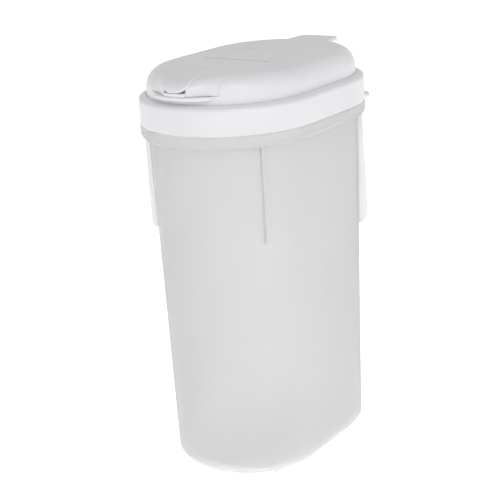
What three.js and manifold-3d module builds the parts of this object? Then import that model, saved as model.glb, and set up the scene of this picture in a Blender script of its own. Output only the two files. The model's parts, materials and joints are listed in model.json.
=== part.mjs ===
// Dry-food keeper for cereal: a tapered stadium-plan tub of frosted plastic under a white press-fit lid.
// The lid's low dome carries two flush flaps on one strip: a pour flap in front, a fill flap behind.
// Millimetres, +Z up. The origin is the centre of the underside, the long axis is Y, the pour end is -Y.

import Module from 'manifold-3d';
import {
    BoxGeometry,
    BufferAttribute,
    BufferGeometry,
    Color,
    CylinderGeometry,
    ExtrudeGeometry,
    Group,
    LatheGeometry,
    Mesh,
    MeshStandardMaterial,
    Shape,
    SplineCurve,
    Vector2,
    Vector3,
} from 'three';
import { mergeVertices } from 'three/addons/utils/BufferGeometryUtils.js';

const wasm = await Module();
wasm.setup();

// ---- driving dimensions ----

const GAP = 0.3;                // clearance between pieces that touch
const HALF_STRAIGHT = 25;       // centre of each end arc from the middle, along Y
const TURN_STEPS = 48;          // facets around the plan

// tub
const BASE_RADIUS = 53.6;       // end-arc radius of the tub's wall at the floor
const WALL_TOP_RADIUS = 57.2;   // the same under the collar
const TUB_WALL = 1.8;
const TUB_FLOOR = 2.2;
const BASE_FILLET = 4.8;
const COLLAR_BOTTOM = 231.8;
const COLLAR_TOP = 240.7;
const COLLAR_RADIUS = 62.7;
const COLLAR_FILLET = 3.4;
const NECK_RADIUS = 60.2;
const NECK_TOP = 252;

// grip fins on the tub's corners
const FIN_THICKNESS = 1.8;
const NEAR_FINS = { turn: 53, foot: 167.3, round: 4.5, reach: 60.2, end: -1 };
const FAR_FINS = { turn: 62, foot: 151.5, round: 9, reach: 62.4, end: 1 };
const FIN_TOP_REACH = 60.2;

// lid
const LID_WALL = 1.8;
const BAND_RADIUS = 62.5;
const BAND_BOTTOM = COLLAR_TOP + GAP;
const BAND_TOP = 256.6;
const SHOULDER_TOP = 260.1;
const SHOULDER_ROUND = 2.6;
const DOME_RADIUS = 56.7;
const DOME_ROUND = 13.25;
const DOME_TOP = 277.9;
const PLUG_RADIUS = 57.9;
const PLUG_BOTTOM = 246.5;
const LID_SEAT = 254.6;         // underside that presses on the gasket

// flap strip
const STRIP_HALF = 26.75;
const FLAP_SHELL = 2;
const LEDGE_SHELL = 1.6;
const FLAP_BOTTOM = 266.1;
const HINGE_Y = 20;
const BARREL_RADIUS = 2.4;
const HINGE_Z = DOME_TOP - BARREL_RADIUS;
const STUB_RADIUS = 1.5;
const STUB_LENGTH = 2.6;

// opening below each flap
const MOUTH_HALF = 22.5;
const MOUTH_START = 26;
const SILL_TOP = 268.5;
const SEAL_WIDTH = 1.6;
const RIB_WIDTH = 1.5;
const RIB_DEPTH = 3.2;

// lip, tongue, tab and pry tab
const LIP_HALF = 23;
const LIP_REACH = 88;
const LIP_THICKNESS = 2.5;
const TONGUE_START = 65;
const TONGUE_REACH = 87.4;
const TONGUE_FOOT = 268.8;
const TONGUE_TIP_HALF = 8.6;
const TONGUE_THICKNESS = 2.2;
const NOSE_REACH = 81.4;
const TAB_HALF = 15.7;
const TAB_REACH = 88;
const TAB_THICKNESS = 2.6;
const PRY_TURN = 50;
const PRY_REACH = 66.4;
const PRY_HALF_ANGLE = 7;
const PRY_THICKNESS = 2;

// ---- materials ----

const plastic = (hex, roughness) => new MeshStandardMaterial({
    color: new Color(hex),
    roughness,
    metalness: 0,
});

const FROSTED = () => plastic(0xd6d6d6, 0.45);
const WHITE = () => plastic(0xf1f1f4, 0.35);
const SILICONE = () => plastic(0xe4e4e2, 0.7);

// ---- solids ----

/** Closed geometry to a manifold solid: welded, without slivers, faces outward. */
function solid(geometry) {
    const bare = geometry.clone();
    bare.deleteAttribute('normal');
    bare.deleteAttribute('uv');
    const welded = mergeVertices(bare, 1e-4);
    const places = welded.attributes.position;
    const index = welded.index.array;
    const corner = (i) => new Vector3().fromBufferAttribute(places, i);
    const triangles = [];
    let volume = 0;
    for (let i = 0; i < index.length; i += 3) {
        const [a, b, c] = [index[i], index[i + 1], index[i + 2]];
        if (a === b || b === c || c === a) continue;
        triangles.push([a, b, c]);
        volume += corner(a).dot(corner(b).cross(corner(c)));
    }
    const ordered = volume > 0 ? triangles : triangles.map(([a, b, c]) => [a, c, b]);
    return new wasm.Manifold(new wasm.Mesh({
        numProp: 3,
        vertProperties: new Float32Array(places.array),
        triVerts: new Uint32Array(ordered.flat()),
    }));
}

/** Manifold solid to a three.js mesh with its own material. */
function piece(name, body, material) {
    const result = body.getMesh();
    const geometry = new BufferGeometry();
    geometry.setAttribute('position', new BufferAttribute(new Float32Array(result.vertProperties), 3));
    geometry.setIndex(new BufferAttribute(new Uint32Array(result.triVerts), 1));
    geometry.computeVertexNormals();
    const mesh = new Mesh(geometry, material);
    mesh.name = name;
    return mesh;
}

/** Points of an arc in the (radius, height) plane, from one angle to another in degrees. */
function arc(centreRadius, centreHeight, radius, from, to, steps) {
    const points = [];
    for (let i = 0; i <= steps; i += 1) {
        const angle = ((from + ((to - from) * i) / steps) * Math.PI) / 180;
        points.push([centreRadius + radius * Math.cos(angle), centreHeight + radius * Math.sin(angle)]);
    }
    return points;
}

/** A (radius, height) profile turned about Z, then pulled apart along Y into a stadium plan. */
function stadium(profile) {
    const outline = profile.map(([radius, height]) => new Vector2(radius, height));
    const turned = new LatheGeometry(outline, TURN_STEPS, Math.PI / TURN_STEPS);
    turned.rotateX(Math.PI / 2);
    const places = turned.attributes.position;
    for (let i = 0; i < places.count; i += 1) {
        const y = places.getY(i);
        if (Math.abs(y) > 1e-6) places.setY(i, y + Math.sign(y) * HALF_STRAIGHT);
    }
    return solid(turned);
}

/** Box given by its two corners. */
function block(low, high) {
    const size = high.map((value, axis) => value - low[axis]);
    const centre = high.map((value, axis) => (value + low[axis]) / 2);
    return solid(new BoxGeometry(...size).translate(...centre));
}

/** Round bar along X. */
function bar(radius, halfLength, y, z, sides = 24) {
    const geometry = new CylinderGeometry(radius, radius, 2 * halfLength, sides);
    return solid(geometry.rotateZ(Math.PI / 2).translate(0, y, z));
}

/** Outline in (across, up), extruded by depth; the caller turns it into place. */
function plate(points, depth) {
    const shape = new Shape(points.map(([across, up]) => new Vector2(across, up)));
    return new ExtrudeGeometry(shape, { depth, bevelEnabled: false, steps: 1 });
}

// ---- tub ----

const tubRadius = (z) => BASE_RADIUS + ((WALL_TOP_RADIUS - BASE_RADIUS) * z) / COLLAR_BOTTOM;

function tubProfile() {
    const innerFillet = BASE_FILLET - TUB_WALL;
    const neckInner = NECK_RADIUS - TUB_WALL;
    return [
        [0, 0],
        ...arc(BASE_RADIUS - BASE_FILLET, BASE_FILLET, BASE_FILLET, -90, 0, 4),
        [WALL_TOP_RADIUS, COLLAR_BOTTOM - 1],
        [WALL_TOP_RADIUS + 1, COLLAR_BOTTOM],
        ...arc(COLLAR_RADIUS - COLLAR_FILLET, COLLAR_BOTTOM + COLLAR_FILLET, COLLAR_FILLET, -70, 0, 4),
        [COLLAR_RADIUS, COLLAR_TOP - 0.5],
        [COLLAR_RADIUS - 0.5, COLLAR_TOP],
        [NECK_RADIUS, COLLAR_TOP],
        [NECK_RADIUS, NECK_TOP - 0.5],
        [NECK_RADIUS - 0.5, NECK_TOP],
        [neckInner + 0.4, NECK_TOP],
        [neckInner, NECK_TOP - 0.4],
        [neckInner, COLLAR_TOP - 4.5],
        [WALL_TOP_RADIUS - TUB_WALL, COLLAR_BOTTOM],
        ...arc(BASE_RADIUS - BASE_FILLET, TUB_FLOOR + innerFillet, innerFillet, 0, -90, 3),
        [0, TUB_FLOOR],
    ];
}

/** One upright fin, moulded on the tub's end arc and deepest at its lower corner. */
function fin({ turn, foot, round, reach, end }, side) {
    const buried = TUB_WALL / 2;
    const top = COLLAR_BOTTOM + 2;
    const wall = tubRadius(foot);
    const quarter = arc(0, 1, 1, -90, 0, 5);
    const roundedFoot = quarter.map(([out, up]) => [wall + (reach - wall) * out, foot + round * up]);
    const outline = [
        [wall - buried, foot],
        ...roundedFoot,
        [FIN_TOP_REACH, top],
        [tubRadius(top) - buried, top],
    ];
    const geometry = plate(outline, FIN_THICKNESS);
    geometry.translate(0, 0, -FIN_THICKNESS / 2);
    geometry.rotateX(Math.PI / 2);
    const heading = Math.atan2(end * Math.cos((turn * Math.PI) / 180), side * Math.sin((turn * Math.PI) / 180));
    geometry.rotateZ(heading);
    geometry.translate(0, end * HALF_STRAIGHT, 0);
    return solid(geometry);
}

function tub() {
    let body = stadium(tubProfile());
    for (const fins of [NEAR_FINS, FAR_FINS]) {
        for (const side of [-1, 1]) {
            body = body.add(fin(fins, side));
        }
    }
    return body;
}

// ---- lid ----

/** The dome's outer form moved inward by inset, as a solid down to the plug's foot. */
function dome(inset) {
    const round = DOME_ROUND - inset;
    return stadium([
        [0, PLUG_BOTTOM],
        [DOME_RADIUS - inset, PLUG_BOTTOM],
        ...arc(DOME_RADIUS - DOME_ROUND, DOME_TOP - DOME_ROUND, round, 0, 90, 6),
        [0, DOME_TOP - inset],
    ]);
}

/** Band, shoulder and plug: the ring that grips the tub's neck. */
function ring() {
    const bandInner = NECK_RADIUS + GAP;
    const plugInner = PLUG_RADIUS - LID_WALL;
    const roundCentre = BAND_RADIUS - SHOULDER_ROUND;
    return stadium([
        [bandInner, BAND_BOTTOM],
        [BAND_RADIUS - 0.4, BAND_BOTTOM],
        [BAND_RADIUS, BAND_BOTTOM + 0.4],
        ...arc(roundCentre, BAND_TOP, SHOULDER_ROUND, 0, 70, 4),
        [DOME_RADIUS + 0.4, SHOULDER_TOP],
        [DOME_RADIUS - LID_WALL / 2, SHOULDER_TOP],
        [DOME_RADIUS - LID_WALL, SHOULDER_TOP - 2],
        [plugInner, LID_SEAT],
        [plugInner, PLUG_BOTTOM],
        [PLUG_RADIUS - 0.5, PLUG_BOTTOM],
        [PLUG_RADIUS, PLUG_BOTTOM + 0.8],
        [PLUG_RADIUS, LID_SEAT],
        [bandInner, LID_SEAT],
        [bandInner, BAND_BOTTOM],
    ]);
}

/** The strip's region on one end: from start to beyond the dome's end, above bottom, half wide. */
function strip(end, half, start, bottom, top = DOME_TOP + 10) {
    const far = LIP_REACH + 30;
    const y = [end * start, end * far].sort((a, b) => a - b);
    return block([-half, y[0], bottom], [half, y[1], top]);
}

/** Crescent under the pour flap: an ellipse in plan that runs back into the dome's end wall. */
function pourLip() {
    const back = HALF_STRAIGHT + DOME_RADIUS - 8;
    const outline = [[-LIP_HALF, -back]];
    const steps = 12;
    for (let i = 0; i <= steps; i += 1) {
        const angle = Math.PI - (Math.PI * i) / steps;
        const fromEnd = Math.sqrt(DOME_RADIUS ** 2 - (LIP_HALF * Math.cos(angle)) ** 2);
        const wall = HALF_STRAIGHT + fromEnd;
        const proud = LIP_REACH - HALF_STRAIGHT - DOME_RADIUS;
        outline.push([LIP_HALF * Math.cos(angle), -wall - proud * Math.sin(angle) ** 0.7]);
    }
    outline.push([LIP_HALF, -back]);
    const geometry = plate(outline, LIP_THICKNESS);
    geometry.translate(0, 0, FLAP_BOTTOM - GAP - LIP_THICKNESS);
    return solid(geometry);
}

/** Small ledge on the band's foot, for a thumb that lifts the lid off. */
function pryTab() {
    const outline = [];
    const steps = 4;
    const spread = (PRY_HALF_ANGLE * Math.PI) / 180;
    const heading = ((90 - PRY_TURN) * Math.PI) / 180;
    const point = (radius, angle) => [radius * Math.cos(angle), radius * Math.sin(angle)];
    for (let i = 0; i <= steps; i += 1) {
        outline.push(point(BAND_RADIUS - 1, heading - spread + (2 * spread * i) / steps));
    }
    for (let i = steps; i >= 0; i -= 1) {
        const angle = heading - spread + (2 * spread * i) / steps;
        const corner = i === 0 || i === steps;
        outline.push(point(corner ? PRY_REACH - 2 : PRY_REACH, angle));
    }
    const geometry = plate(outline, PRY_THICKNESS);
    geometry.translate(0, HALF_STRAIGHT, BAND_BOTTOM);
    return solid(geometry);
}

/** Trough and stub blocks that carry one flap's barrel, under the deck. */
function hingeSeat(end) {
    const y = end * HINGE_Y;
    const half = STRIP_HALF + GAP + STUB_LENGTH + 2;
    const seat = bar(BARREL_RADIUS + GAP + LEDGE_SHELL, half, y, HINGE_Z);
    return seat.intersect(dome(0));
}

function lid() {
    const ledgeInset = FLAP_SHELL + GAP;
    const full = dome(0);
    const hollow = dome(LID_WALL);
    const ledgeHollow = dome(ledgeInset + LEDGE_SHELL);
    const pocketFloor = dome(ledgeInset);
    const above = block([-200, -200, SHOULDER_TOP - 2], [200, 200, DOME_TOP + 20]);
    let shell = full.subtract(hollow).intersect(above);
    const frameHalf = STRIP_HALF + LID_WALL;
    for (const end of [-1, 1]) {
        const start = HINGE_Y - BARREL_RADIUS - GAP;
        const frame = strip(end, frameHalf, start - LID_WALL, SHOULDER_TOP - 2);
        shell = shell.add(full.subtract(ledgeHollow).intersect(frame));
        shell = shell.add(hingeSeat(end));
    }
    let body = shell.add(ring()).add(pourLip().subtract(hollow)).add(pryTab());
    for (const end of [-1, 1]) {
        const start = HINGE_Y - BARREL_RADIUS - GAP;
        body = body.subtract(strip(end, STRIP_HALF, start, FLAP_BOTTOM - GAP).subtract(pocketFloor));
        body = body.subtract(strip(end, MOUTH_HALF, MOUTH_START, SILL_TOP));
        body = body.subtract(bar(BARREL_RADIUS + GAP, STRIP_HALF, end * HINGE_Y, HINGE_Z));
        body = body.subtract(bar(STUB_RADIUS + GAP, STRIP_HALF + STUB_LENGTH + GAP, end * HINGE_Y, HINGE_Z));
    }
    return body;
}

// ---- flaps ----

/** Shell between two insets of the dome, inside a strip region. */
function skin(outer, inner, region) {
    return dome(outer).subtract(dome(inner)).intersect(region);
}

/** Flap without its finger tab: skin, hinge barrel with stubs, and the rib that carries the seal. */
function plainFlap(end) {
    const half = STRIP_HALF - GAP;
    const barrelY = end * HINGE_Y;
    const ribInset = SEAL_WIDTH + 2 * GAP;
    const ribHalf = MOUTH_HALF - ribInset;
    const ribStart = MOUTH_START + ribInset;
    const ribFoot = SILL_TOP + ribInset;
    const core = strip(end, ribHalf - RIB_WIDTH, ribStart + RIB_WIDTH, ribFoot + RIB_WIDTH);
    const ribRegion = strip(end, ribHalf, ribStart, ribFoot).subtract(core);
    return skin(0, FLAP_SHELL, strip(end, half, HINGE_Y, FLAP_BOTTOM))
        .add(bar(BARREL_RADIUS, half, barrelY, HINGE_Z))
        .add(bar(STUB_RADIUS, half + STUB_LENGTH, barrelY, HINGE_Z))
        .add(skin(FLAP_SHELL / 2, FLAP_SHELL + RIB_DEPTH, ribRegion));
}

/** Turns an extruded (y, z) outline so that its depth runs along X, centred on the middle plane. */
function alongX(geometry, depth) {
    return geometry.rotateX(Math.PI / 2).rotateZ(Math.PI / 2).translate(-depth / 2, 0, 0);
}

/** Half width of the tongue at a distance y from the middle: full strip on top, narrow at the tip. */
function tongueHalf(y) {
    const run = Math.min(Math.max((-y - TONGUE_START) / (TONGUE_REACH - TONGUE_START), 0), 1);
    return STRIP_HALF - GAP + (TONGUE_TIP_HALF - STRIP_HALF + GAP) * run;
}

/** Thumb tongue: leaves the flat top, fills out to a nose, then bends down and stands clear of it. */
function tongue() {
    const width = 2 * STRIP_HALF;
    const over = new SplineCurve([
        new Vector2(-TONGUE_START, DOME_TOP),
        new Vector2(-TONGUE_REACH + 13.4, DOME_TOP),
        new Vector2(-TONGUE_REACH + 6.9, DOME_TOP - 1.1),
        new Vector2(-TONGUE_REACH + 2.2, DOME_TOP - 4.3),
        new Vector2(-TONGUE_REACH, TONGUE_FOOT),
    ]).getPoints(12).map(({ x, y }) => [x, Math.min(y, DOME_TOP)]);
    const inner = [
        [-TONGUE_REACH + TONGUE_THICKNESS, TONGUE_FOOT],
        [-TONGUE_REACH + TONGUE_THICKNESS + 1.6, DOME_TOP - 5.4],
        [-NOSE_REACH, DOME_TOP - 3.6],
        [-NOSE_REACH, FLAP_BOTTOM],
        [-TONGUE_START, FLAP_BOTTOM],
    ];
    const side = solid(alongX(plate([...over, ...inner], width), width));
    const rows = [TONGUE_START, NOSE_REACH, TONGUE_REACH + 1];
    const left = rows.map((y) => [-tongueHalf(-y), -y]);
    const right = rows.map((y) => [tongueHalf(-y), -y]).reverse();
    const depth = DOME_TOP - FLAP_BOTTOM + 2;
    const plan = solid(plate([...left, ...right], depth).translate(0, 0, FLAP_BOTTOM - 1));
    return side.intersect(plan).intersect(tongueFront()).subtract(dome(FLAP_SHELL));
}

/** Front outline of the tongue, (x, z) extruded along Y: a wide nose behind a round lower end. */
function tongueFront() {
    const wide = strip(-1, STRIP_HALF, 0, FLAP_BOTTOM - 1);
    const round = 6;
    const high = DOME_TOP + 1;
    const outline = [
        [-STRIP_HALF, high],
        [-STRIP_HALF, DOME_TOP - 3.6],
        ...arc(-TONGUE_TIP_HALF + round - 1.5, TONGUE_FOOT + round, round, 180, 270, 4),
        ...arc(TONGUE_TIP_HALF - round + 1.5, TONGUE_FOOT + round, round, 270, 360, 4),
        [STRIP_HALF, DOME_TOP - 3.6],
        [STRIP_HALF, high],
    ];
    const front = plate(outline, 40).rotateX(Math.PI / 2).translate(0, -NOSE_REACH, 0);
    const behind = block([-STRIP_HALF, -NOSE_REACH, FLAP_BOTTOM - 1], [STRIP_HALF, 0, high]);
    return solid(front).add(behind).intersect(wide);
}

/** Level finger tab that carries the flat top on over the dome's far end. */
function rearTab() {
    const round = 5;
    const start = 58;
    const outline = [
        [-TAB_HALF, start],
        ...arc(-TAB_HALF + round, TAB_REACH - round, round, 180, 90, 4),
        ...arc(TAB_HALF - round, TAB_REACH - round, round, 90, 0, 4),
        [TAB_HALF, start],
    ];
    const slab = solid(plate(outline, TAB_THICKNESS).translate(0, 0, DOME_TOP - TAB_THICKNESS));
    return slab.subtract(dome(FLAP_SHELL));
}

/** Flexible loop that fills the gap between the rib and the edge of the opening. */
function flapSeal(end) {
    const half = MOUTH_HALF - GAP;
    const start = MOUTH_START + GAP;
    const foot = SILL_TOP + GAP;
    const core = strip(end, half - SEAL_WIDTH, start + SEAL_WIDTH, foot + SEAL_WIDTH);
    const outerInset = FLAP_SHELL + GAP;
    return skin(outerInset, outerInset + LEDGE_SHELL, strip(end, half, start, foot).subtract(core));
}

/** Flat ring between the tub's rim and the lid's seat. */
function gasket() {
    const inner = PLUG_RADIUS + GAP;
    const outer = NECK_RADIUS;
    const low = NECK_TOP + GAP;
    const high = LID_SEAT - GAP;
    return stadium([[inner, low], [outer, low], [outer, high], [inner, high], [inner, low]]);
}

// ---- assembly ----

const keeper = new Group();
keeper.add(
    piece('tub', tub(), FROSTED()),
    piece('lid', lid(), WHITE()),
    piece('pour_flap', plainFlap(-1).add(tongue()), WHITE()),
    piece('fill_flap', plainFlap(1).add(rearTab()), WHITE()),
    piece('lid_gasket', gasket(), SILICONE()),
    piece('pour_flap_seal', flapSeal(-1), SILICONE()),
    piece('fill_flap_seal', flapSeal(1), SILICONE()),
);

export default keeper;
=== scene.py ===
"""Looks of the cereal keeper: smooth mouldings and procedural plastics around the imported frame.

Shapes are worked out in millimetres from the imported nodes' boxes, and turned into metres when a
mesh is made. The pour end is at -Y and the fill end at +Y.
"""
import json
import math

import bpy
import numpy as np
from mathutils import Matrix, Vector


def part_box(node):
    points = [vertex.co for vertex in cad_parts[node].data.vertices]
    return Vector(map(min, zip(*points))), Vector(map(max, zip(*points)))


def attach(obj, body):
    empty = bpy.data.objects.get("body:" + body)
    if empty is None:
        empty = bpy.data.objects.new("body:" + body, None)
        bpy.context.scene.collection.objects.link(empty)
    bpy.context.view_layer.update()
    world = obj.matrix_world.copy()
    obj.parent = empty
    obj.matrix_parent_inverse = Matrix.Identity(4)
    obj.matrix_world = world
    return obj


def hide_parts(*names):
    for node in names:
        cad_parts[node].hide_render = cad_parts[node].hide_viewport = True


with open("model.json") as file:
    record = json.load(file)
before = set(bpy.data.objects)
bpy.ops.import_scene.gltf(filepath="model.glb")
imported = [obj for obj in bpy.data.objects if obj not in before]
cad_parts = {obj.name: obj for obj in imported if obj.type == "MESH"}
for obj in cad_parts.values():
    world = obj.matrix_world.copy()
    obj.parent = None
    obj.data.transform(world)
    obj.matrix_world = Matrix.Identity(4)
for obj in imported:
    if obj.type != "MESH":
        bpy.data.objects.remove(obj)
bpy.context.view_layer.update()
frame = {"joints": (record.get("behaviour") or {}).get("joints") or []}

MM = 0.001


# ---- sizes from the frame, in millimetres ----------------------------------------------------

def box_mm(node):
    low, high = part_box(node)
    return low / MM, high / MM


def hinge_mm(name):
    joint = next(joint for joint in frame["joints"] if joint["name"] == name)
    return Vector(joint["pos_m"]) / MM


tub_low, tub_high = box_mm("tub")
lid_low, lid_high = box_mm("lid")
pour_low, pour_high = box_mm("pour_flap")
fill_low, fill_high = box_mm("fill_flap")
gasket_low, gasket_high = box_mm("lid_gasket")
seal_low, seal_high = box_mm("pour_flap_seal")

STRAIGHT = tub_high.y - tub_high.x      # centre of each end arc, along Y
COLLAR = tub_high.x                     # end-arc radius of the tub's collar
BAND = lid_high.x                       # end-arc radius of the lid's band
NECK_TOP = tub_high.z
BAND_BOTTOM = lid_low.z
TOP = lid_high.z                        # flat top of the dome and of both flaps
GAP = 0.3

# tub
NECK = COLLAR - 2.5
WALL_TOP = COLLAR - 5.5                 # wall under the collar
WALL_BASE = COLLAR - 9.1                # wall at the floor
TUB_WALL = 1.8
TUB_FLOOR = 2.2
BASE_FILLET = 4.8
COLLAR_TOP = BAND_BOTTOM - GAP
COLLAR_BOTTOM = COLLAR_TOP - 8.9
COLLAR_FILLET = 3.4
FIN_TOP_REACH = NECK
NEAR_FINS = {"turn": 53, "foot": 167.3, "round": 4.5, "reach": COLLAR - 2.5, "end": -1}
FAR_FINS = {"turn": 62, "foot": 151.5, "round": 9.0, "reach": COLLAR - 0.3, "end": 1}

# lid
DOME = BAND - 5.8                       # dome's upright wall
ROUND = 13.25                           # rounding of the dome's edge
ROUND_Z = TOP - ROUND
FLAT = DOME - ROUND                     # end-arc radius of the flat top
LID_WALL = 1.8
LEDGE_WALL = 1.6
SHOULDER_TOP = TOP - 17.8
SHOULDER_ROUND = 2.6
BAND_TOP = TOP - 21.3
PLUG = BAND - 4.6
PLUG_BOTTOM = BAND_BOTTOM + 5.5
SEAT = gasket_high.z + GAP
LIP_HALF = 23
LIP_THICKNESS = 2.5
LIP_REACH = -lid_low.y

# flaps
HINGE_Y = abs(hinge_mm("pour_flap_hinge").y)
HINGE_Z = hinge_mm("pour_flap_hinge").z
BARREL = TOP - HINGE_Z
STUB = 1.5
STUB_LENGTH = 2.6
FLAP_HALF = pour_high.x - STUB_LENGTH
STRIP_HALF = FLAP_HALF + GAP
SKIN = 2.0
FLAP_BOTTOM = pour_low.z
TONGUE_REACH = -pour_low.y
TAB_REACH = fill_high.y
TAB_HALF = 15.7
TAB_THICKNESS = 2.6
MOUTH_HALF = seal_high.x + GAP
MOUTH_START = -seal_high.y - GAP
SILL = seal_low.z - GAP
SEAL_WIDTH = 1.6
RIB_WIDTH = 1.5
RIB_DEPTH = 3.2


# ---- camera, first, at the photograph's viewing angle ----------------------------------------

CAMERA_AZIMUTH = math.radians(36.28)    # from the pour end towards +X
CAMERA_ELEVATION = math.radians(18.35)
CAMERA_ROLL = math.radians(-3.43)
CAMERA_DISTANCE = 0.860
AIM_HEIGHT = 0.1393
AIM_SIDE = -0.0092
LENS = 87.0


def add_camera():
    level = math.cos(CAMERA_ELEVATION)
    back = Vector((
        math.sin(CAMERA_AZIMUTH) * level,
        -math.cos(CAMERA_AZIMUTH) * level,
        math.sin(CAMERA_ELEVATION),
    ))
    side = Vector((math.cos(CAMERA_AZIMUTH), math.sin(CAMERA_AZIMUTH), 0))
    aim = Vector((0, 0, AIM_HEIGHT)) + AIM_SIDE * side
    data = bpy.data.cameras.new("camera")
    data.sensor_width = 36
    data.lens = LENS
    camera = bpy.data.objects.new("camera", data)
    bpy.context.scene.collection.objects.link(camera)
    look = back.to_track_quat("Z", "Y").to_matrix().to_4x4()
    place = Matrix.Translation(aim + CAMERA_DISTANCE * back)
    camera.matrix_world = place @ look @ Matrix.Rotation(CAMERA_ROLL, 4, "Z")
    bpy.context.scene.camera = camera


add_camera()


# ---- materials ------------------------------------------------------------------------------

def start_material(name, colour, roughness):
    """A Principled material; colour and roughness are set on the shader's own sockets."""
    material = bpy.data.materials.new(name)
    material.use_nodes = True
    tree = material.node_tree
    shader = tree.nodes["Principled BSDF"]
    shader.inputs["Base Color"].default_value = (*colour, 1)
    shader.inputs["Roughness"].default_value = roughness
    return material, tree, shader


def noise(tree, scale, detail, stretch=(1, 1, 1)):
    """Noise in object space; scale is in features per metre."""
    place = tree.nodes.new("ShaderNodeTexCoord")
    mapping = tree.nodes.new("ShaderNodeMapping")
    mapping.inputs["Scale"].default_value = stretch
    texture = tree.nodes.new("ShaderNodeTexNoise")
    texture.inputs["Scale"].default_value = scale
    texture.inputs["Detail"].default_value = detail
    tree.links.new(place.outputs["Object"], mapping.inputs["Vector"])
    tree.links.new(mapping.outputs["Vector"], texture.inputs["Vector"])
    return texture.outputs["Fac"]


def spread(tree, value, low, high):
    """Maps the middle of a noise's range to low..high."""
    node = tree.nodes.new("ShaderNodeMapRange")
    node.inputs["From Min"].default_value = 0.35
    node.inputs["From Max"].default_value = 0.65
    node.inputs["To Min"].default_value = low
    node.inputs["To Max"].default_value = high
    tree.links.new(value, node.inputs["Value"])
    return node.outputs["Result"]


def mottle(tree, shader, value, dark, light):
    """Base colour that drifts between two near tones."""
    mix = tree.nodes.new("ShaderNodeMix")
    mix.data_type = "RGBA"
    colours = [socket for socket in mix.inputs if socket.type == "RGBA"]
    colours[0].default_value = (*dark, 1)
    colours[1].default_value = (*light, 1)
    tree.links.new(value, mix.inputs["Factor"])
    result = next(socket for socket in mix.outputs if socket.type == "RGBA")
    tree.links.new(result, shader.inputs["Base Color"])


def grain(tree, shader, value, strength, distance):
    node = tree.nodes.new("ShaderNodeBump")
    node.inputs["Strength"].default_value = strength
    node.inputs["Distance"].default_value = distance
    tree.links.new(value, node.inputs["Height"])
    tree.links.new(node.outputs["Normal"], shader.inputs["Normal"])


def frosted_plastic():
    """Milky translucent polypropylene with a fine spark-eroded grain."""
    material, tree, shader = start_material("frosted_polypropylene", (0.95, 0.95, 0.95), 0.50)
    shader.inputs["IOR"].default_value = 1.45
    shader.inputs["Transmission Weight"].default_value = 0.72
    cloud = spread(tree, noise(tree, 18, 2, (1, 1, 0.35)), 0, 1)
    mottle(tree, shader, cloud, (0.905, 0.906, 0.908), (0.932, 0.931, 0.927))
    smear = noise(tree, 60, 4, (1, 1, 0.25))
    tree.links.new(spread(tree, smear, 0.46, 0.56), shader.inputs["Roughness"])
    grain(tree, shader, noise(tree, 1800, 2), 0.12, 0.0002)
    return material


def white_plastic():
    """White moulded polypropylene with a satin gloss."""
    material, tree, shader = start_material("white_polypropylene", (0.75, 0.75, 0.77), 0.34)
    shader.inputs["IOR"].default_value = 1.49
    shader.inputs["Subsurface Weight"].default_value = 0.1
    shader.inputs["Subsurface Radius"].default_value = (0.004, 0.004, 0.004)
    shader.inputs["Subsurface Scale"].default_value = 0.5
    cloud = spread(tree, noise(tree, 25, 2), 0, 1)
    mottle(tree, shader, cloud, (0.735, 0.735, 0.756), (0.757, 0.757, 0.774))
    smear = noise(tree, 90, 4)
    tree.links.new(spread(tree, smear, 0.30, 0.40), shader.inputs["Roughness"])
    grain(tree, shader, noise(tree, 900, 3), 0.05, 0.0002)
    return material


def silicone():
    """Milky, matte silicone."""
    material, tree, shader = start_material("milky_silicone", (0.78, 0.78, 0.77), 0.62)
    shader.inputs["Subsurface Weight"].default_value = 0.3
    shader.inputs["Subsurface Radius"].default_value = (0.003, 0.003, 0.003)
    shader.inputs["Subsurface Scale"].default_value = 0.5
    dust = noise(tree, 400, 4)
    mottle(tree, shader, spread(tree, dust, 0, 1), (0.75, 0.75, 0.74), (0.80, 0.80, 0.79))
    tree.links.new(spread(tree, dust, 0.55, 0.70), shader.inputs["Roughness"])
    return material


FROSTED = frosted_plastic()
WHITE = white_plastic()
SILICONE = silicone()


# ---- mesh helpers ---------------------------------------------------------------------------

SHARP = math.radians(32)


def make_object(name, points, faces, material=None):
    """Mesh object from points in millimetres."""
    mesh = bpy.data.meshes.new(name)
    mesh.from_pydata([tuple(point) for point in np.asarray(points, float) * MM], [], faces)
    if material:
        mesh.materials.append(material)
    made = bpy.data.objects.new(name, mesh)
    bpy.context.scene.collection.objects.link(made)
    return made


def bake(made):
    """Turns an object's modifiers into its mesh."""
    graph = bpy.context.evaluated_depsgraph_get()
    mesh = bpy.data.meshes.new_from_object(made.evaluated_get(graph))
    made.modifiers.clear()
    made.data = mesh
    return made


def weld(made, distance=0.004):
    """Merges points closer than distance, in millimetres."""
    modifier = made.modifiers.new("weld", "WELD")
    modifier.merge_threshold = distance * MM
    return bake(made)


def combine(operation, made, *tools):
    """Boolean of closed objects; the tools are used up."""
    for tool in tools:
        modifier = made.modifiers.new("combine", "BOOLEAN")
        modifier.operation = operation
        modifier.solver = "MANIFOLD"
        modifier.object = tool
        bake(made)
        bpy.data.objects.remove(tool)
    return made


def shade(made):
    """Smooth shading that stays crisp at edges, with flat faces kept flat."""
    made.data.shade_smooth()
    made.data.set_sharp_from_angle(angle=SHARP)
    modifier = made.modifiers.new("flat faces", "WEIGHTED_NORMAL")
    modifier.keep_sharp = True
    return made


def grid_faces(rows, columns, wrap_rows=False):
    """Quads between rings of points; each ring is closed, and wrap_rows joins last ring to first."""
    faces = []
    for i in range(rows if wrap_rows else rows - 1):
        k = (i + 1) % rows
        for j in range(columns):
            m = (j + 1) % columns
            faces.append((i * columns + j, i * columns + m, k * columns + m, k * columns + j))
    return faces


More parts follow.
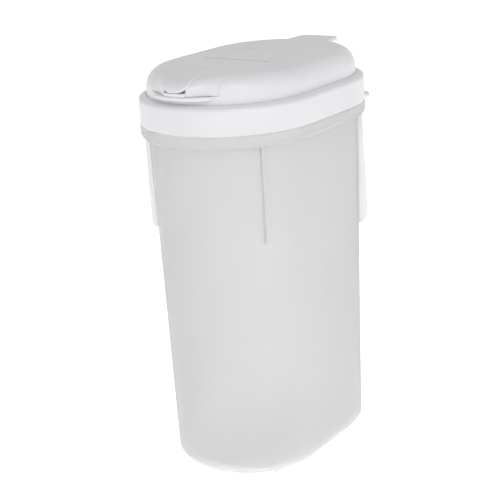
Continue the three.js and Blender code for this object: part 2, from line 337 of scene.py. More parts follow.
def loft(name, rings, material=None):
    """Closed solid through rings of points; flat faces close both ends."""
    rings = np.asarray(rings, float)
    rows, columns = rings.shape[:2]
    faces = grid_faces(rows, columns)
    faces.append(tuple(range(columns))[::-1])
    faces.append(tuple(range((rows - 1) * columns, rows * columns)))
    return make_object(name, rings.reshape(-1, 3), faces, material)


def hoop(name, rings, material=None):
    """Closed tube through rings of points, whose last ring joins the first."""
    rings = np.asarray(rings, float)
    rows, columns = rings.shape[:2]
    return make_object(name, rings.reshape(-1, 3), grid_faces(rows, columns, True), material)


def arc(centre_across, centre_up, radius, start, end, steps):
    """Points of an arc in a plane, angles in degrees."""
    angles = np.radians(np.linspace(start, end, steps + 1))
    return [(centre_across + radius * math.cos(a), centre_up + radius * math.sin(a)) for a in angles]


def smoothstep(value):
    run = np.clip(value, 0, 1)
    return run * run * (3 - 2 * run)


# ---- stadium plan ---------------------------------------------------------------------------

ARC_STEPS = 80
SIDE_STEPS = 12


def plan_columns():
    """Columns anticlockwise from -X: centre along Y, and the unit direction from it."""
    columns = []
    for end in (-1, 1):
        for step in range(ARC_STEPS + 1):
            angle = math.pi * ((-1 if end < 0 else 0) + step / ARC_STEPS)
            columns.append((end * STRAIGHT, math.cos(angle), math.sin(angle)))
        for step in range(1, SIDE_STEPS):
            columns.append((end * STRAIGHT * (1 - 2 * step / SIDE_STEPS), -end, 0))
    return np.array(columns)


PLAN = plan_columns()


def plan_ring(radius, height):
    across = radius * PLAN[:, 1]
    along = PLAN[:, 0] + radius * PLAN[:, 2]
    return np.column_stack([across, along, np.full(len(PLAN), height)])


def stadium(name, profile, material=None):
    """A (radius, height) profile swept round the stadium plan."""
    return loft(name, [plan_ring(radius, height) for radius, height in profile], material)


# ---- tub ------------------------------------------------------------------------------------

LOW_HEIGHTS = [20, 45, 75, 105, 130, 145]   # rows of the wall under the fins
HIGH_HEIGHTS = [182, 200, 215, 226]         # rows of the wall above the fins' feet
ROW_STEP = 0.6                          # between rows where the fins' feet round off
RECESS = 6                              # the underside's foot ring is about this wide
RECESS_DEPTH = 0.9
FIN_CLEAR = 2.6                         # half width of the wall that a fin's columns take over
FIN_FULL = 1.6                          # height from which a fin has its whole section
# half section of a fin: offset from its middle, height, and whether that is below the tip
FIN_SECTION = [
    (2.3, 0.0, False), (1.6, 0.03, False), (1.2, 0.16, False), (1.0, 0.42, False),
    (0.92, 0.8, False), (0.80, 0.7, True), (0.72, 0.34, True), (0.5, 0.08, True), (0.2, 0.0, True),
]


def wall_radius(z):
    return WALL_BASE + (WALL_TOP - WALL_BASE) * z / COLLAR_BOTTOM


def fin_reach(fins, z):
    """Radius of a fin's outer edge at height z: upright, and rounded in to the wall at its foot."""
    foot = fins["foot"]
    corner = foot + fins["round"]
    straight = np.interp(z, [corner, COLLAR_BOTTOM + 2], [fins["reach"], FIN_TOP_REACH])
    rise = np.clip((z - foot) / fins["round"], 0, 1)
    wall = wall_radius(z)
    return wall + (straight - wall) * math.sqrt(rise * (2 - rise))


def tub_columns():
    """Wall columns, with each fin's own columns in place of the wall's at the fin."""
    headings = []
    for fins in (NEAR_FINS, FAR_FINS):
        for side in (-1, 1):
            turn = math.radians(fins["turn"])
            heading = math.atan2(fins["end"] * math.cos(turn), side * math.sin(turn))
            headings.append((heading, fins))
    section = [(-offset, height, tip) for offset, height, tip in FIN_SECTION]
    section += [(offset, height, tip) for offset, height, tip in FIN_SECTION[::-1]]
    columns = []
    placed = set()
    for centre, across, along in PLAN:
        angle = math.atan2(along, across)
        near = None
        for number, (heading, fins) in enumerate(headings):
            same_end = centre == fins["end"] * STRAIGHT
            away = abs(angle - heading) * WALL_TOP
            if same_end and away < FIN_CLEAR:
                near = number
        if near is None:
            columns.append((centre, across, along, 0, 0, False, None))
        elif near not in placed:
            placed.add(near)
            heading, fins = headings[near]
            for offset, height, tip in section:
                direction = (math.cos(heading), math.sin(heading))
                columns.append((centre, *direction, offset, height, tip, fins))
    return columns


TUB_COLUMNS = tub_columns()


def tub_ring(radius, height, with_fins):
    points = []
    for centre, across, along, offset, section_height, tip, fins in TUB_COLUMNS:
        rise = 0
        if with_fins and fins:
            depth = max(0, fin_reach(fins, height) - radius)
            full = max(depth, FIN_FULL)
            rise = (full - section_height if tip else section_height) * depth / full
        out = math.sqrt(radius ** 2 - offset ** 2) + rise
        points.append((out * across - offset * along, centre + out * along + offset * across, height))
    return points


def tub_profile():
    """Outside from the underside up to the rim, then inside down to the floor."""
    base = WALL_BASE - BASE_FILLET
    recess = base - RECESS
    neck_inner = NECK - TUB_WALL
    fins = np.arange(FAR_FINS["foot"] - 0.4, NEAR_FINS["foot"] + NEAR_FINS["round"] + 1, ROW_STEP)
    heights = [BASE_FILLET + 1, *LOW_HEIGHTS, *fins, *HIGH_HEIGHTS, COLLAR_BOTTOM - 2]
    collar_round = arc(COLLAR - COLLAR_FILLET, COLLAR_BOTTOM + COLLAR_FILLET, COLLAR_FILLET, -72, 0, 8)
    outside = [
        (recess - 2, RECESS_DEPTH), (recess, RECESS_DEPTH), (recess + 0.4, RECESS_DEPTH - 0.15),
        (recess + 0.7, 0.2), (recess + 1, 0), (recess + 2, 0), (base - 1, 0),
        *arc(base, BASE_FILLET, BASE_FILLET, -90, 0, 10),
        *[(wall_radius(z), z) for z in heights],
        (WALL_TOP + 0.05, COLLAR_BOTTOM - 1.1), (WALL_TOP + 0.22, COLLAR_BOTTOM - 0.5),
        (WALL_TOP + 0.55, COLLAR_BOTTOM - 0.1), (WALL_TOP + 1.1, COLLAR_BOTTOM + 0.05),
        *collar_round,
        (COLLAR, COLLAR_BOTTOM + COLLAR_FILLET + 0.8), (COLLAR, COLLAR_TOP - 1.2),
        *arc(COLLAR - 0.25, COLLAR_TOP - 0.05, 0.25, 0, 90, 4),
        (NECK + 0.8, COLLAR_TOP + 0.2), (NECK + 0.3, COLLAR_TOP + 0.2),
        (NECK + 0.06, COLLAR_TOP + 0.3), (NECK, COLLAR_TOP + 0.6),
        (NECK, COLLAR_TOP + 1.2), (NECK, NECK_TOP - 1.2),
        *arc(NECK - 0.5, NECK_TOP - 0.5, 0.5, 0, 90, 4),
    ]
    floor_round = BASE_FILLET - TUB_WALL
    inside = [
        *arc(neck_inner + 0.4, NECK_TOP - 0.4, 0.4, 90, 180, 4),
        (neck_inner, NECK_TOP - 1.2), (neck_inner, COLLAR_TOP - 3.7), (neck_inner, COLLAR_TOP - 4.5),
        (neck_inner - 0.4, COLLAR_TOP - 5.4), (WALL_TOP - TUB_WALL + 0.3, COLLAR_BOTTOM + 0.4),
        (WALL_TOP - TUB_WALL, COLLAR_BOTTOM - 0.7),
        *[(wall_radius(z) - TUB_WALL, z) for z in heights[-2:0:-1]],
        (wall_radius(BASE_FILLET + 1) - TUB_WALL, BASE_FILLET + 1.4),
        *arc(base, TUB_FLOOR + floor_round, floor_round, 0, -90, 8),
        (base - 1, TUB_FLOOR), (base - 3, TUB_FLOOR),
    ]
    return outside, inside


def add_tub():
    outside, inside = tub_profile()
    rings = [tub_ring(radius, height, True) for radius, height in outside]
    rings += [tub_ring(radius, height, False) for radius, height in inside]
    made = shade(loft("tub_moulding", rings, FROSTED))
    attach(made, "tub")
    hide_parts("tub")


# ---- lid ------------------------------------------------------------------------------------

DOME_STEPS = 14


def dome_profile(inset):
    """Outside of the dome moved inward by inset, from its upright wall to its flat top."""
    size = ROUND - inset
    return [*arc(FLAT, ROUND_Z, size, 0, 90, DOME_STEPS), (FLAT - 2, TOP - inset)]


def dome(inset):
    """Solid of the dome moved inward by inset, down to the plug's foot."""
    return stadium("dome", [(DOME - inset, PLUG_BOTTOM), *dome_profile(inset)])


def lid_profile():
    """From the ceiling down the inside, round the band's foot, and up the outside to the top."""
    plug_inner = PLUG - LID_WALL
    band_inner = NECK + GAP
    wall_inner = DOME - LID_WALL
    shoulder = BAND - SHOULDER_ROUND
    return [
        *dome_profile(LID_WALL)[::-1],
        (wall_inner, SHOULDER_TOP), (wall_inner, SHOULDER_TOP - 1.6), (wall_inner + 0.3, SHOULDER_TOP - 2.4),
        (plug_inner - 0.2, SEAT + 0.4), (plug_inner, SEAT - 0.4), (plug_inner, PLUG_BOTTOM + 1),
        *arc(plug_inner + 0.4, PLUG_BOTTOM + 0.4, 0.4, 180, 270, 3),
        *arc(PLUG - 0.6, PLUG_BOTTOM + 0.6, 0.6, 270, 360, 3),
        (PLUG, PLUG_BOTTOM + 1.4), (PLUG, SEAT - 0.6), (PLUG + 0.1, SEAT - 0.1), (PLUG + 0.5, SEAT),
        (band_inner - 0.5, SEAT), (band_inner - 0.1, SEAT - 0.1), (band_inner, SEAT - 0.6),
        (band_inner, BAND_BOTTOM + 1), *arc(band_inner + 0.4, BAND_BOTTOM + 0.4, 0.4, 180, 270, 3),
        *arc(BAND - 0.2, BAND_BOTTOM + 0.2, 0.2, 270, 360, 4),
        (BAND, BAND_BOTTOM + 1.4), (BAND, BAND_TOP - 0.8),
        *arc(shoulder, BAND_TOP, SHOULDER_ROUND, 0, 68, 8),
        (shoulder - 0.2, SHOULDER_TOP - 0.62), (DOME + 1.2, SHOULDER_TOP - 0.08),
        (DOME + 0.75, SHOULDER_TOP - 0.1), (DOME + 0.45, SHOULDER_TOP - 0.5),
        (DOME + 0.2, SHOULDER_TOP - 0.65), (DOME, SHOULDER_TOP - 0.4),
        (DOME, SHOULDER_TOP + 0.6), (DOME, ROUND_Z - 1),
        *dome_profile(0),
    ]


def blocks(name, corners):
    """One object of separate boxes, each given by its two corners."""
    points = []
    faces = []
    for low, high in corners:
        start = len(points)
        for z in (low[2], high[2]):
            points += [(low[0], low[1], z), (high[0], low[1], z), (high[0], high[1], z), (low[0], high[1], z)]
        faces.append((start + 3, start + 2, start + 1, start))
        faces.append((start + 4, start + 5, start + 6, start + 7))
        for j in range(4):
            k = (j + 1) % 4
            faces.append((start + j, start + k, start + 4 + k, start + 4 + j))
    return make_object(name, points, faces)


def strips(half, start, bottom, top):
    """The flap strip's region on both ends: from start outward, above bottom, half wide."""
    far = LIP_REACH + 30
    return blocks("strips", [
        ((-half, -far, bottom), (half, -start, top)),
        ((-half, start, bottom), (half, far, top)),
    ])


def bars(radius, half_length, ceiling=None, sides=48):
    """Round bars along X on both hinge axes, cut off flat at the ceiling where one is given."""
    points = []
    faces = []
    for end in (-1, 1):
        start = len(points)
        for x in (-half_length, half_length):
            for across, up in arc(end * HINGE_Y, HINGE_Z, radius, 0, 360 * (1 - 1 / sides), sides - 1):
                points.append((x, across, min(up, ceiling) if ceiling else up))
        faces.append(tuple(range(start, start + sides))[::-1])
        faces.append(tuple(range(start + sides, start + 2 * sides)))
        for j in range(sides):
            k = (j + 1) % sides
            faces.append((start + j, start + k, start + sides + k, start + sides + j))
    return make_object("bars", points, faces)


def ledge_section(reach, thickness, rounding, steps, inner):
    """Section (out, up) of a ledge with a rounded edge; inner lists its points within the wall."""
    edge = min(rounding, max(reach, 0.02) * 0.5)
    middle = max(reach - edge, 0) * 0.5
    lower = [(reach - edge + out, edge + up) for out, up in arc(0, 0, edge, -90, 0, steps)]
    upper = [(reach - edge + out, thickness - edge + up) for out, up in arc(0, 0, edge, 0, 90, steps)]
    return [
        *[(out, 0) for out in inner], (middle, 0), *lower,
        *upper, (middle, thickness), *[(out, thickness) for out in inner[::-1]],
    ]


LIP_STEPS = 40
LIP_EDGE = 0.9
LIP_FULLNESS = 0.7                      # below 1, the crescent stays wide further round
BURIED = 1.2                            # how deep the lip and the pry tab reach into the wall


def pour_lip():
    """Crescent under the pour flap: rounded sections stood round the dome's end wall."""
    low = FLAP_BOTTOM - GAP - LIP_THICKNESS
    proud = LIP_REACH - STRAIGHT - DOME
    rings = []
    for step in range(LIP_STEPS + 1):
        turn = math.pi * (step / LIP_STEPS - 0.5)
        x = LIP_HALF * math.sin(turn)
        wall = -STRAIGHT - math.sqrt(DOME ** 2 - x ** 2)
        reach = proud * max(math.cos(turn), 0) ** LIP_FULLNESS
        section = ledge_section(reach, LIP_THICKNESS, LIP_EDGE, 5, [-BURIED, 0])
        rings.append([(x, wall - out, low + up) for out, up in section])
    return weld(loft("lip", rings))


PRY_TURN = 50                           # degrees from the +Y end towards +X
PRY_HALF_ANGLE = 7
PRY_REACH = 66.4
PRY_THICKNESS = 2.0
PRY_EDGE = 0.8
PRY_STEPS = 16


def pry_tab():
    """Small rounded thumb ledge on the band's foot, at one rear corner."""
    rings = []
    heading = math.radians(90 - PRY_TURN)
    half = math.radians(PRY_HALF_ANGLE)
    for step in range(PRY_STEPS + 1):
        run = 2 * step / PRY_STEPS - 1
        angle = heading + half * run
        reach = (PRY_REACH - BAND) * max(1 - abs(run) ** 4, 0) ** 0.5
        section = ledge_section(reach, PRY_THICKNESS, PRY_EDGE, 4, [-BURIED])
        ring = []
        for out, up in section:
            radius = BAND + out
            x = radius * math.cos(angle)
            ring.append((x, STRAIGHT + radius * math.sin(angle), BAND_BOTTOM + 0.05 + up))
        rings.append(ring[::-1])
    return weld(loft("pry", rings))


def add_lid():
    high = TOP + 10
    pocket_inset = SKIN + GAP
    pocket_start = HINGE_Y - BARREL - GAP
    frame_half = STRIP_HALF + LID_WALL
    seat_half = STRIP_HALF + GAP + STUB_LENGTH + 2
    made = stadium("lid_moulding", lid_profile())
    ledge = combine("DIFFERENCE", dome(0.6), dome(pocket_inset + LEDGE_WALL))
    combine("INTERSECT", ledge, strips(frame_half, pocket_start - LID_WALL, SHOULDER_TOP - 2, high))
    seats = bars(BARREL + GAP + LEDGE_WALL, seat_half, TOP - 0.6)
    combine("UNION", made, ledge, seats, pour_lip(), pry_tab())
    pockets = strips(STRIP_HALF, pocket_start, FLAP_BOTTOM - GAP, high)
    combine("DIFFERENCE", pockets, dome(pocket_inset))
    mouths = strips(MOUTH_HALF, MOUTH_START, SILL, high)
    troughs = bars(BARREL + GAP, STRIP_HALF)
    sockets = bars(STUB + GAP, STRIP_HALF + STUB_LENGTH + GAP)
    combine("DIFFERENCE", made, pockets, mouths, troughs, sockets)
    made.data.materials.clear()
    made.data.materials.append(WHITE)
    shade(made)
    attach(made, "lid")
    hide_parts("lid")


# ---- flaps ----------------------------------------------------------------------------------
# Distances are measured from the keeper's middle, outward along Y.

EDGE = 0.4                              # rounding of the flaps' edges
SEAM = 0.18                             # how much nearer the flaps' sides come than the clearance
FOOT_SEAM = 0.24                        # the same at their feet
NOSE_DROP = 0.55                        # the nose lies this far under the tongue's upper face
NOSE_START = 62.0                       # its top is stretched outward from here to meet its front
NOSE_WALL = 85.2                        # distance of its upright front
NOSE_JUNCTION = TOP - 7.0               # height where its curved top meets its front
NOSE_FADE = 24.0                        # half width at which the nose is down to the dome
NICHE_HALF = 8.0                        # half width of the recess under the tongue's tip
NICHE_DEPTH = 3.4
NICHE_LEDGE = 1.6                       # how far the ledge under the recess stands out
NICHE_FLOOR = FLAP_BOTTOM + 1.9         # heights between which the recess lies
NICHE_TOP = TOP - 5.4
TONGUE_START = 66.0
TONGUE_OVER = 11.0                      # how far past its start the tongue stays nearly level
TONGUE_ROOT_THICKNESS = 1.7
TONGUE_THICKNESS = 2.2
TONGUE_EDGE = 0.9                       # rounding of its sides
TONGUE_END = 1.0                        # rounding of its tip
TONGUE_NARROWS = [65.0, 85.4, 87.4]     # distances between which its half width shrinks
TONGUE_HALVES = [FLAP_HALF - 0.2, 10.4, 9.4]
TONGUE_TIP_HALF = 1.8                   # half width of the tip's straight foot
TONGUE_TIP_ROUND = 8.0
TONGUE_DROP = 9.7                       # height from the flat top down to the tip


def bezier(points, count):
    """Points of a cubic curve given by its four control points."""
    run = np.linspace(0, 1, count)[:, None]
    rest = 1 - run
    weights = (rest ** 3, 3 * rest ** 2 * run, 3 * rest * run ** 2, run ** 3)
    return sum(weight * np.array(point, float) for weight, point in zip(weights, points))


def tongue_curve(count, drop=0.0):
    """Middle line of the tongue's upper face, (distance, height), moved inward by drop."""
    reach = TONGUE_REACH
    over = (TONGUE_START + TONGUE_OVER, TOP)
    down = (reach - 0.3, TOP - 3.6)
    curve = bezier([(TONGUE_START, TOP), over, down, (reach, TOP - TONGUE_DROP)], count)
    curve[:, 1] = np.minimum(curve[:, 1], TOP)
    if drop:
        along = np.gradient(curve, axis=0)
        along /= np.linalg.norm(along, axis=1)[:, None]
        curve = curve + drop * np.column_stack([along[:, 1], -along[:, 0]])
    return curve


def flap_stations():
    """Places across the flap, closer at its two rounded side edges."""
    half = FLAP_HALF + SEAM
    edge = [0, 0.05, 0.12, 0.22, EDGE, 0.8, 1.6]
    inner = np.linspace(-half + 2.6, half - 2.6, 73)
    return np.array([*[step - half for step in edge], *inner, *[half - step for step in edge[::-1]]])


def edge_inset(distance):
    """How far a rounded edge has turned in, at a distance from the face it ends on."""
    left = np.clip(EDGE - distance, 0, EDGE)
    return EDGE - math.sqrt(EDGE ** 2 - left ** 2)


def dome_line(x, inset, angles):
    """Points (distance, height) down the dome's end at x, by angle from the top in radians."""
    radius = FLAT + (ROUND - inset) * np.sin(angles)
    height = ROUND_Z + (ROUND - inset) * np.cos(angles)
    return np.column_stack([STRAIGHT + np.sqrt(radius ** 2 - x ** 2), height])


def line(start, end, steps):
    """Evenly spaced points from start up to but not including end."""
    return [np.add(start, np.subtract(end, start) * i / steps) for i in range(steps)]


def angle_at(height, inset):
    return math.acos((height - ROUND_Z) / (ROUND - inset))


def nose_shape(x, count):
    """Top of the nose at x, the distance of its upright front, and how much of the nose there is."""
    half = FLAP_HALF + SEAM
    whole = smoothstep((NOSE_FADE - abs(x)) / (NOSE_FADE - NICHE_HALF))
    dome_wall = STRAIGHT + math.sqrt(DOME ** 2 - x ** 2)
    middle_wall = STRAIGHT + math.sqrt(DOME ** 2 - NICHE_HALF ** 2)
    front = dome_wall + (NOSE_WALL - middle_wall) * smoothstep((half - abs(x)) / (half - NICHE_HALF))
    curve = tongue_curve(160, NOSE_DROP)
    above = curve[curve[:, 1] >= NOSE_JUNCTION]
    places = np.linspace(0, len(above) - 1, count)
    nose = np.column_stack([np.interp(places, np.arange(len(above)), above[:, axis]) for axis in (0, 1)])
    stretch = (front - NOSE_START) / (nose[-1, 0] - NOSE_START)
    past = nose[:, 0] > NOSE_START
    nose[past, 0] = NOSE_START + (nose[past, 0] - NOSE_START) * stretch
    return nose, front, whole


def add_niche(run, x):
    """Cuts the recess under the tongue's tip into a run of a section, and stands its ledge out below."""
    niche = smoothstep((NICHE_HALF + 0.5 - abs(x)) / 1.0)
    cut = smoothstep((NICHE_TOP - run[:, 1]) / 0.8) * smoothstep((run[:, 1] - NICHE_FLOOR) / 0.5)
    ledge = smoothstep((NICHE_FLOOR + 0.3 - run[:, 1]) / 0.5)
    run[:, 0] -= niche * (NICHE_DEPTH * cut - NICHE_LEDGE * ledge)


def flap_section(x, nosed):
    """Closed outline of a flap at x: (distance from the middle, height)."""
    inset = edge_inset(FLAP_HALF + SEAM - abs(x))
    low = FLAP_BOTTOM + inset - FOOT_SEAM

    # inside, from the foot up to the barrel
    inner_inset = SKIN - inset
    inside = list(dome_line(x, inner_inset, np.linspace(angle_at(low, inner_inset), 0, 16)))
    ceiling = TOP - inner_inset
    barrel = BARREL - inset
    meet = math.asin((ceiling - HINGE_Z) / barrel)
    inside = inside[:-1] + line(inside[-1], (HINGE_Y + barrel * math.cos(meet), ceiling), 8)

    # round the barrel to the top, and along it to where the dome rounds off
    turn = np.linspace(meet, -1.5 * math.pi, 26)
    round_barrel = [(HINGE_Y + barrel * math.cos(a), HINGE_Z + barrel * math.sin(a)) for a in turn]
    drop = angle_at(NOSE_JUNCTION, inset)
    over = dome_line(x, inset, np.linspace(0, drop, 26))
    down = dome_line(x, inset, np.linspace(drop, angle_at(low + EDGE, inset), 30))
    if nosed:
        nose, front, whole = nose_shape(x, len(over))
        over = over + whole * (nose - over)
        heights = np.linspace(NOSE_JUNCTION, low + EDGE, len(down))
        full = np.column_stack([np.full(len(heights), front), heights])
        down = down + whole * (full - down)
        add_niche(over, x)
        add_niche(down, x)
    top = line((HINGE_Y, TOP - inset), over[0], 16)[1:]
    edge_at = down[-1]
    foot = [
        (edge_at[0] - EDGE + EDGE * math.cos(a), edge_at[1] - EDGE * math.sin(a))
        for a in np.radians([22.5, 45, 67.5, 90])
    ]
    return np.array([*inside, *round_barrel, *top, *over, *down[1:], *foot])


def on_curve(curve, lengths, length):
    """Point of a curve at a length along it."""
    return np.array([np.interp(length, lengths, curve[:, axis]) for axis in (0, 1)])


# how far back from the tip the tongue's sections stand, closest where it rounds off
TIP_STEPS = [
    0, 0.06, 0.2, 0.4, 0.65, 0.9, 1.2, 1.6, 2.1, 2.7, 3.4, 4.2, 5.2, 6.5, 8, 9.5, 11, 13, 15, 17.5, 20,
]


def tongue_half(distance, left):
    """Half width of the tongue, at a distance and with a length left to its tip."""
    taper = np.interp(distance, TONGUE_NARROWS, TONGUE_HALVES)
    behind = max(TONGUE_TIP_ROUND - left, 0)
    tip = TONGUE_TIP_HALF + math.sqrt(max(TONGUE_TIP_ROUND ** 2 - behind ** 2, 0))
    return min(taper, tip)


def tongue_section(place, inward, left):
    """Rounded oblong across the tongue, under a point of its upper face."""
    thickness = np.interp(place[0], [65, 80], [TONGUE_ROOT_THICKNESS, TONGUE_THICKNESS])
    behind = 1 - min(left, TONGUE_END)
    upper = (1.0 - math.sqrt(max(1.0 - behind ** 2, 0.0004))) * thickness / 2
    lower = thickness - upper
    edge = min(TONGUE_EDGE, (lower - upper) * 0.45)
    half = tongue_half(place[0], left)
    section = []
    for side, level, start in (
        (1, upper + edge, 0), (-1, upper + edge, 90), (-1, lower - edge, 180), (1, lower - edge, 270),
    ):
        for across, up in arc(side * (half - edge), -level, edge, start, start + 90, 5):
            distance, height = place - inward * up
            section.append((across, -distance, height))
    return section


def tongue():
    """Thumb tongue: lies flush on the flat top, narrows, bends down and ends in a free round tip."""
    curve = tongue_curve(400)
    steps = np.linalg.norm(np.diff(curve, axis=0), axis=1)
    lengths = np.concatenate([[0], np.cumsum(steps)])
    total = lengths[-1]
    rings = []
    for length in [total - step for step in TIP_STEPS] + [2.5, 0]:
        ahead = on_curve(curve, lengths, min(length + 0.2, total))
        behind = on_curve(curve, lengths, max(length - 0.2, 0))
        heading = (ahead - behind) / np.linalg.norm(ahead - behind)
        inward = np.array([heading[1], -heading[0]])
        rings.append(tongue_section(on_curve(curve, lengths, length), inward, total - length))
    return loft("tongue", rings[::-1])


def stub_bars(end, name):
    """The pair of hinge stubs, as one round bar through the barrel."""
    rings = []
    length = FLAP_HALF + STUB_LENGTH
    ends = [(0.35, 0), (0.1, 0.1), (0, 0.35), (0, 1.5)]
    places = [(-length + along, STUB - shrink) for shrink, along in ends]
    places += [(length - along, STUB - shrink) for shrink, along in ends[::-1]]
    for x, radius in places:
        angles = np.linspace(0, 2 * math.pi, 32, endpoint=False)
        middle = end * HINGE_Y
        rings.append([(x, middle + radius * math.cos(a), HINGE_Z + radius * math.sin(a)) for a in angles])
    return loft(name, rings)


def on_flap(x, along, inset):
    """Point of the dome moved inward by inset, at x and at a run along the strip's middle line."""
    flat_end = STRAIGHT + math.sqrt(FLAT ** 2 - x ** 2)
    middle_flat = STRAIGHT + FLAT - MOUTH_START
    if along <= middle_flat:
        return np.array([x, MOUTH_START + (flat_end - MOUTH_START) * along / middle_flat, TOP - inset])
    angle = (along - middle_flat) / ROUND
    distance, height = dome_line(x, inset, np.array([angle]))[0]
    return np.array([x, distance, height])


def loop_path(margin, corner):
    """Rounded rectangle (across, along the strip) that keeps a margin from the mouth's edge."""
    half = MOUTH_HALF - margin
    start = margin
    end = STRAIGHT + FLAT - MOUTH_START + ROUND * angle_at(SILL + margin, SKIN)
    corners = [
        (half - corner, end - corner, 0), (-half + corner, end - corner, 90),
        (-half + corner, start + corner, 180), (half - corner, start + corner, 270),
    ]
    points = []
    for x, along, start_angle in corners:
        points += arc(x, along, corner, start_angle, start_angle + 90, 6)
    dense = []
    for i, point in enumerate(points):
        after = points[(i + 1) % len(points)]
        gap = math.dist(point, after)
        pieces = max(1, round(gap / 1.5))
        dense += [tuple(np.add(point, np.subtract(after, point) * k / pieces)) for k in range(pieces)]
    return dense


def strip_loop(name, end, margin, corner, width, outer_inset, depth, rounding, material=None):
    """Bead of rounded section that runs round the mouth, under the dome's surface."""
    path = loop_path(margin + width / 2, corner)
    section = []
    for across, up, start in ((1, 0, 0), (-1, 0, 90), (-1, 1, 180), (1, 1, 270)):
        centre = (across * (width / 2 - rounding), -rounding if up == 0 else -depth + rounding)
        section += arc(*centre, rounding, start, start + 90, 3)
    rings = []
    for i, (x, along) in enumerate(path):
        before = path[i - 1]
        after = path[(i + 1) % len(path)]
        here = on_flap(x, along, outer_inset)
        normal = here - on_flap(x, along, outer_inset + 1)
        normal /= np.linalg.norm(normal)
        run = on_flap(*after, outer_inset) - on_flap(*before, outer_inset)
        side = np.cross(run, normal)
        side /= np.linalg.norm(side)
        rings.append([here + side * across + normal * up for across, up in section])
    rings = np.array(rings)
    rings[:, :, 1] *= end
    if end > 0:
        rings = rings[::-1]
    return hoop(name, rings, material)


def rear_tab():
    """Level finger tab that carries the flat top on over the dome's far end."""
    start = 60
    rounding = 1.0
    corner = 5
    rings = []
    levels = [(rounding - rounding * math.sin(a), rounding - rounding * math.cos(a))
              for a in np.radians([0, 22.5, 45, 67.5, 90])]
    heights = [(TOP - TAB_THICKNESS + up, inset) for inset, up in levels]
    heights += [(TOP + 0.01 - up, inset) for inset, up in levels[::-1]]
    for z, inset in heights:
        half = TAB_HALF - inset
        reach = TAB_REACH - inset
        turn = corner - inset
        ring = [(-half, start), (half, start)]
        ring += [(half, start + (reach - turn - start) * k / 8) for k in range(1, 8)]
        ring += arc(half - turn, reach - turn, turn, 0, 90, 8)
        ring += arc(-half + turn, reach - turn, turn, 90, 180, 8)
        ring += [(-half, start + (reach - turn - start) * k / 8) for k in range(7, 0, -1)]
        rings.append([(x, y, z) for x, y in ring])
    return loft("tab", rings)


def add_flap(name, end, nosed):
    stations = flap_stations()
    rings = []
    for x in stations:
        section = flap_section(x, nosed)
        rings.append([(x, end * distance, height) for distance, height in section])
    made = loft(name, rings if end < 0 else rings[::-1])
    rib_margin = SEAL_WIDTH + 2 * GAP
    rib = strip_loop("rib", end, rib_margin, 3.0, RIB_WIDTH, SKIN - 1, RIB_DEPTH + 1, 0.4)
    combine("UNION", made, stub_bars(end, "stubs"), rib)
    combine("UNION", made, tongue() if nosed else rear_tab())
    made.data.materials.clear()
    made.data.materials.append(WHITE)
    shade(made)
    return made


def add_flaps():
    for name, body, end, nosed in (
        ("pour_flap_moulding", "pour_flap", -1, True),
        ("fill_flap_moulding", "fill_flap", 1, False),
    ):
        made = add_flap(name, end, nosed)
        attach(made, body)
        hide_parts(body)


# ---- silicone -------------------------------------------------------------------------------

def add_gasket():
    low = gasket_low.z
    high = gasket_high.z
    inner = PLUG + GAP
    outer = gasket_high.x
    corner = 0.4
    section = [
        *arc(outer - corner, high - corner, corner, 0, 90, 4),
        *arc(inner + corner, high - corner, corner, 90, 180, 4),
        *arc(inner + corner, low + corner, corner, 180, 270, 4),
        *arc(outer - corner, low + corner, corner, 270, 360, 4),
    ]
    rings = [plan_ring(radius, height) for radius, height in section]
    made = shade(hoop("lid_gasket_ring", rings, SILICONE))
    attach(made, "lid")
    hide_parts("lid_gasket")


def add_seals():
    for node, end in (("pour_flap_seal", -1), ("fill_flap_seal", 1)):
        made = strip_loop(node + "_bead", end, GAP, 3.4, SEAL_WIDTH, SKIN + GAP, LEDGE_WALL, 0.45, SILICONE)
        shade(made)
        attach(made, node.removesuffix("_seal"))
        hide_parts(node)


# ---- stage ----------------------------------------------------------------------------------

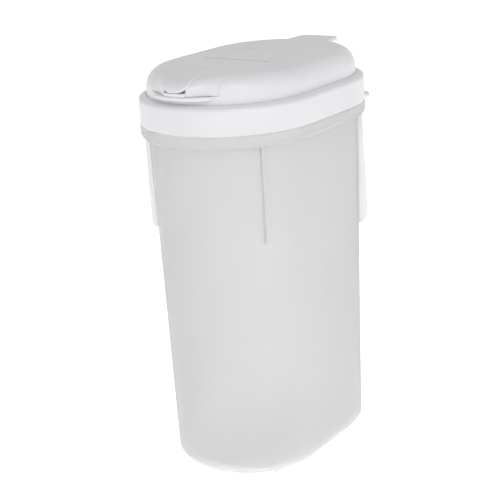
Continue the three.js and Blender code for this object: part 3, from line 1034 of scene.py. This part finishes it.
def add_floor():
    half = 9000
    points = [(-half, -half, 0), (half, -half, 0), (half, half, 0), (-half, half, 0)]
    material, _, shader = start_material("floor", (0.5, 0.5, 0.5), 0.8)
    shader.inputs["Specular IOR Level"].default_value = 0.1
    shader.inputs["Emission Color"].default_value = (1, 1, 1, 1)
    shader.inputs["Emission Strength"].default_value = 0.88
    floor = make_object("floor", points, [(0, 1, 2, 3)], material)


def add_world():
    """Pale as the floor at the horizon, and darker towards overhead."""
    world = bpy.data.worlds.new("studio")
    bpy.context.scene.world = world
    world.use_nodes = True
    tree = world.node_tree
    background = tree.nodes["Background"]
    place = tree.nodes.new("ShaderNodeTexCoord")
    split = tree.nodes.new("ShaderNodeSeparateXYZ")
    above = tree.nodes.new("ShaderNodeMath")
    above.operation = "MAXIMUM"
    above.inputs[1].default_value = 0
    curve = tree.nodes.new("ShaderNodeMath")
    curve.operation = "POWER"
    curve.inputs[1].default_value = 0.55
    height = tree.nodes.new("ShaderNodeMapRange")
    height.inputs["To Min"].default_value = 1.0
    height.inputs["To Max"].default_value = 0.47
    tree.links.new(place.outputs["Generated"], split.inputs["Vector"])
    tree.links.new(split.outputs["Z"], above.inputs[0])
    tree.links.new(above.outputs["Value"], curve.inputs[0])
    tree.links.new(curve.outputs["Value"], height.inputs["Value"])
    tree.links.new(height.outputs["Result"], background.inputs["Color"])
    background.inputs["Strength"].default_value = 0.97


LIGHT_AIM = 0.16


def add_light(name, azimuth, elevation, distance, size, power):
    """Square area light aimed at the keeper's middle; azimuth from -Y towards +X."""
    data = bpy.data.lights.new(name, "AREA")
    data.shape = "SQUARE"
    data.size = size
    data.energy = power
    light = bpy.data.objects.new(name, data)
    bpy.context.scene.collection.objects.link(light)
    turn = math.radians(azimuth)
    rise = math.radians(elevation)
    away = Vector((math.sin(turn) * math.cos(rise), -math.cos(turn) * math.cos(rise), math.sin(rise)))
    look = away.to_track_quat("Z", "Y").to_matrix().to_4x4()
    light.matrix_world = Matrix.Translation(Vector((0, 0, LIGHT_AIM)) + distance * away) @ look


def add_studio():
    add_floor()
    add_world()
    add_light("key", 42, 45, 1.5, 0.6, 4.5)
    add_light("fill", 80, 25, 1.5, 0.6, 0.5)
    bpy.context.scene.view_settings.view_transform = "Standard"


# ---- build ----------------------------------------------------------------------------------

add_tub()
add_lid()
add_flaps()
add_gasket()
add_seals()
add_studio()
